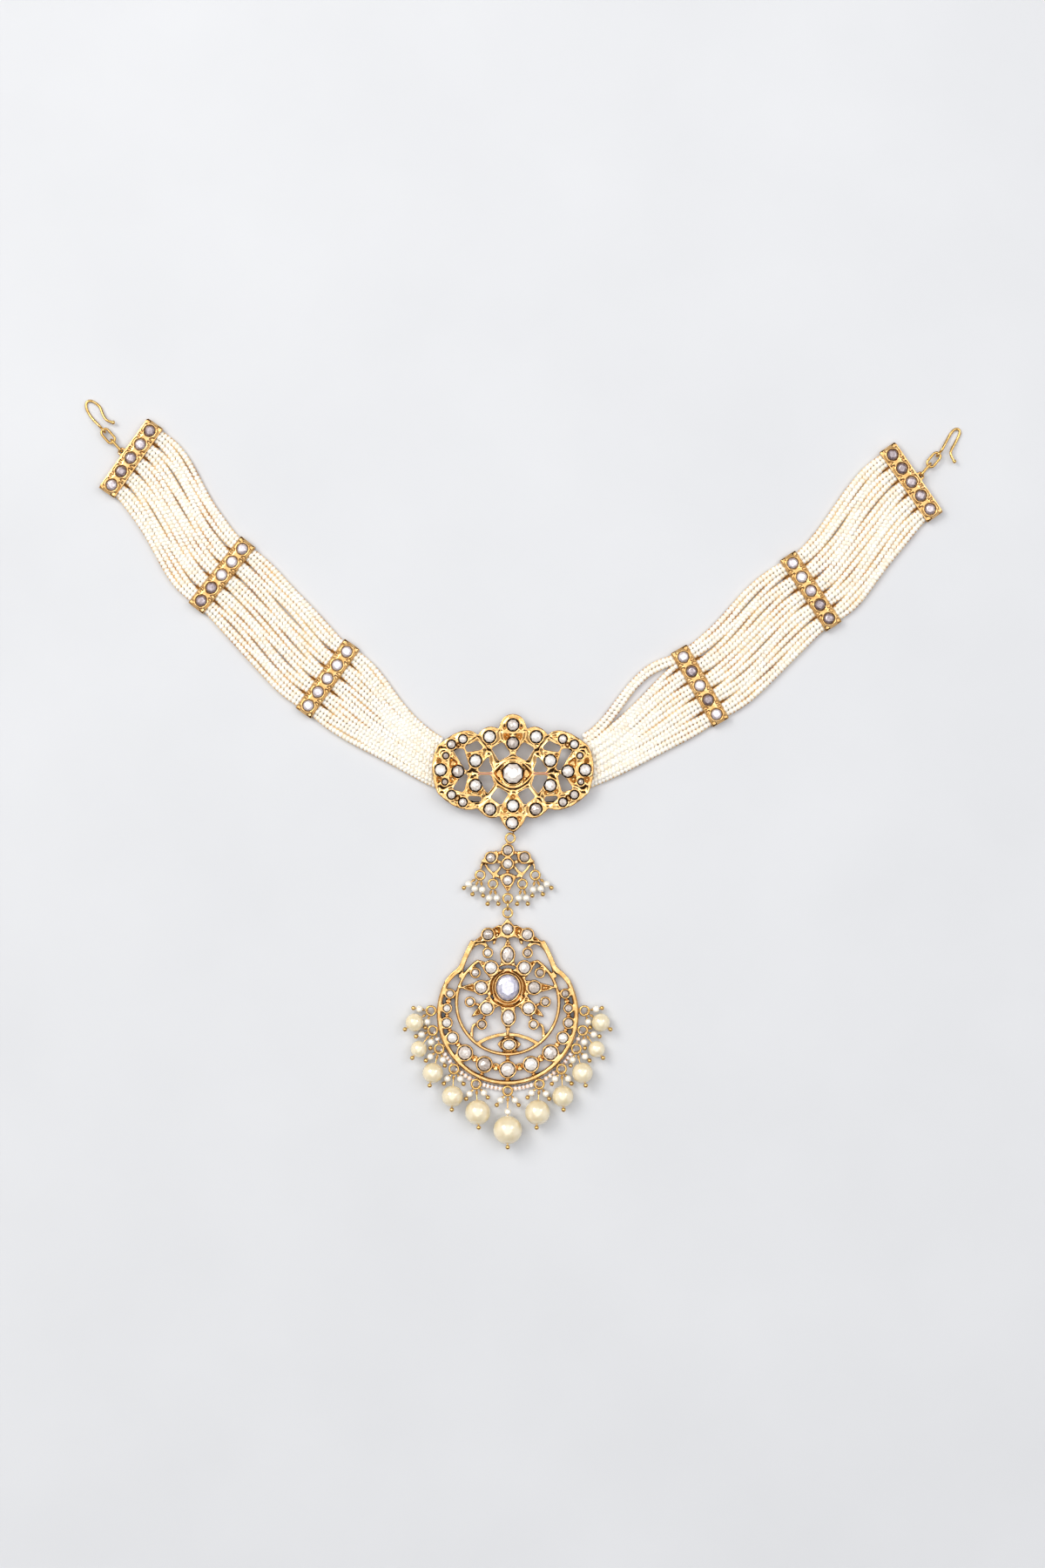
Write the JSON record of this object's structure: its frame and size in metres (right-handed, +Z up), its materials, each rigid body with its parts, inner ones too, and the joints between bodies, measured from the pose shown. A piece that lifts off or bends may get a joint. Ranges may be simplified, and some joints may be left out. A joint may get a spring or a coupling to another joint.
{
  "type": "matha patti",
  "caption": "Head ornament: twin seed pearl bands with jewelled spacer bars, a pierced stone-set plaque and a crescent pendant fringed with pearl drops.",
  "frame": {"origin": "middle of the plaque's flat back, on the surface the ornament lies on", "axes": "+X across the ornament, from the left hook to the right hook; +Y from the pendant's pearls up towards the crown; +Z up from the surface, out of the stones"},
  "size_m": [0.2521, 0.2151, 0.0084],
  "materials": {
    "gold": "polished yellow gold",
    "wire_gold": "polished gold wire",
    "stone": "flat cut colourless stone over foil",
    "centre_stone": "large flat cut stone, faintly lilac",
    "pearl": "glossy cream pearl",
    "seed_pearl": "small ivory pearls on thread",
    "edging_bead": "white beads with a pink tinge"
  },
  "bodies": {
    "root": {"plaque": "gold", "plaque_stones": "stone", "plaque_centre_stone": "centre_stone", "bar_left_1": "gold", "bar_left_2": "gold", "bar_left_3": "gold", "bar_right_1": "gold", "bar_right_2": "gold", "bar_right_3": "gold", "bar_stones_left": "stone", "bar_stones_right": "stone", "strands_left_1": "seed_pearl", "strands_left_2": "seed_pearl", "strands_left_3": "seed_pearl", "strands_right_1": "seed_pearl", "strands_right_2": "seed_pearl", "strands_right_3": "seed_pearl", "fan_link": "wire_gold", "fan": "gold", "fan_stones": "stone", "fan_rings": "wire_gold", "fan_pins": "wire_gold", "fan_seeds": "seed_pearl", "pendant_links": "wire_gold", "pendant": "gold", "pendant_stones": "stone", "pendant_centre_stone": "centre_stone", "pearl_01": "pearl", "pearl_02": "pearl", "pearl_03": "pearl", "pearl_04": "pearl", "pearl_05": "pearl", "pearl_06": "pearl", "pearl_07": "pearl", "pearl_08": "pearl", "pearl_09": "pearl", "pearl_10": "pearl", "pearl_11": "pearl", "pearl_pin_01": "wire_gold", "pearl_pin_02": "wire_gold", "pearl_pin_03": "wire_gold", "pearl_pin_04": "wire_gold", "pearl_pin_05": "wire_gold", "pearl_pin_06": "wire_gold", "pearl_pin_07": "wire_gold", "pearl_pin_08": "wire_gold", "pearl_pin_09": "wire_gold", "pearl_pin_10": "wire_gold", "pearl_pin_11": "wire_gold", "fringe_rings": "wire_gold", "fringe_pins": "wire_gold", "fringe_seeds": "seed_pearl", "edging_thread": "edging_bead", "hook_left": "wire_gold", "hook_right": "wire_gold", "link_left_1": "wire_gold", "link_left_2": "wire_gold", "link_right_1": "wire_gold", "link_right_2": "wire_gold"}
  },
  "joints": []
}
